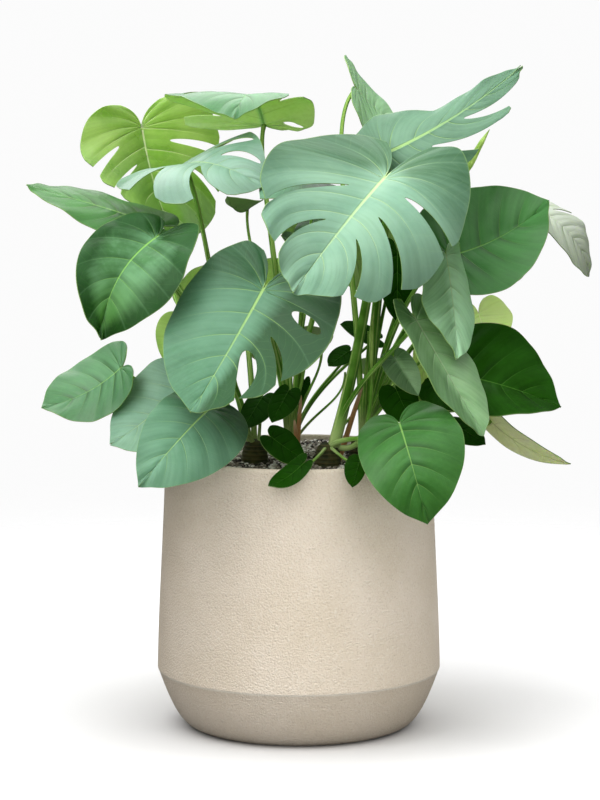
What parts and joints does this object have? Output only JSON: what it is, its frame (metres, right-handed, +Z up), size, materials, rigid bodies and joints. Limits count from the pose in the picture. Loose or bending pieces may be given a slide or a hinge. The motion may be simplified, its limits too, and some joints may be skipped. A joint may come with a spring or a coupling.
{
  "type": "potted swiss cheese plant",
  "caption": "Swiss cheese plant with large split heart-shaped leaves on long stalks, in a round beige planter that narrows to its foot, filled with soil and gravel.",
  "frame": {"origin": "centre of the planter's flat underside, on the surface it stands on", "axes": "+Z up along the planter's axis, -Y to the front that the picture shows, +X to its right"},
  "size_m": [0.7517, 0.5473, 0.8953],
  "materials": {
    "pot_clay": "fine sand-like texture, satin, beige",
    "soil": "dark potting soil, crumbly, matt",
    "gravel": "loose white, grey and brown granules",
    "stalks": "smooth green stalks with pale grooves",
    "dried_sheaths": "dry, papery, orange-brown",
    "blade_pale": "glossy bluish green leaf",
    "blade_deep": "saturated dark green leaf, satin",
    "blade_mid": "bright mid green leaf, satin",
    "blade_young": "glossy yellow-green young leaf",
    "blade_grey": "dull grey-green leaf",
    "blade_olive": "pale olive leaf underside with raised veins"
  },
  "bodies": {
    "root": {"pot": "pot_clay", "soil": "soil", "gravel": "gravel", "crown_left": "stalks", "crown_middle": "stalks", "crown_right": "stalks", "crown_far_right": "stalks", "leaf_front_centre": "blade_pale", "leaf_front_left": "blade_pale", "leaf_left_dark": "blade_deep", "leaf_far_left_long": "blade_grey", "leaf_young_left": "blade_young", "leaf_curled_left": "blade_pale", "leaf_top_centre": "blade_mid", "leaf_top_right": "blade_pale", "leaf_top_folded": "blade_pale", "leaf_right_heart": "blade_deep", "leaf_far_right_drooping": "blade_grey", "leaf_right_folded": "blade_pale", "leaf_right_long": "blade_grey", "leaf_right_dark": "blade_deep", "leaf_front_right": "blade_mid", "leaf_back_right_young": "blade_young", "leaf_young_small": "blade_young", "leaf_low_right_narrow": "blade_olive", "leaf_low_right_small": "blade_deep", "leaf_far_left_light": "blade_mid", "leaf_low_left_back": "blade_mid", "leaf_low_left_front": "blade_mid", "leaf_small_front": "blade_deep", "leaf_over_rim_left": "blade_deep", "leaf_over_rim_right": "blade_deep", "leaf_cupped": "blade_mid", "leaf_behind_centre": "blade_mid", "leaf_left_young_edge": "blade_young", "leaf_inner_left": "blade_deep", "leaf_inner_middle": "blade_deep", "leaf_inner_grey": "blade_grey", "leaf_inner_right": "blade_deep", "leaf_inner_low": "blade_deep", "leaf_inner_top": "blade_deep", "leaf_back_centre": "blade_mid", "leaf_back_right": "blade_deep", "leaf_back_left": "blade_mid", "leaf_back_low": "blade_deep", "leaf_inner_dark": "blade_deep", "leaf_inner_shade": "blade_deep", "leaf_inner_tall": "blade_deep", "leaf_inner_small": "blade_deep", "leaf_behind_high": "blade_deep", "leaf_back_middle": "blade_mid", "dried_sheath_left": "dried_sheaths", "dried_sheath_middle": "dried_sheaths", "dried_sheath_right": "dried_sheaths", "new_leaf_right": "blade_young", "new_leaf_middle": "blade_young"}
  },
  "joints": []
}
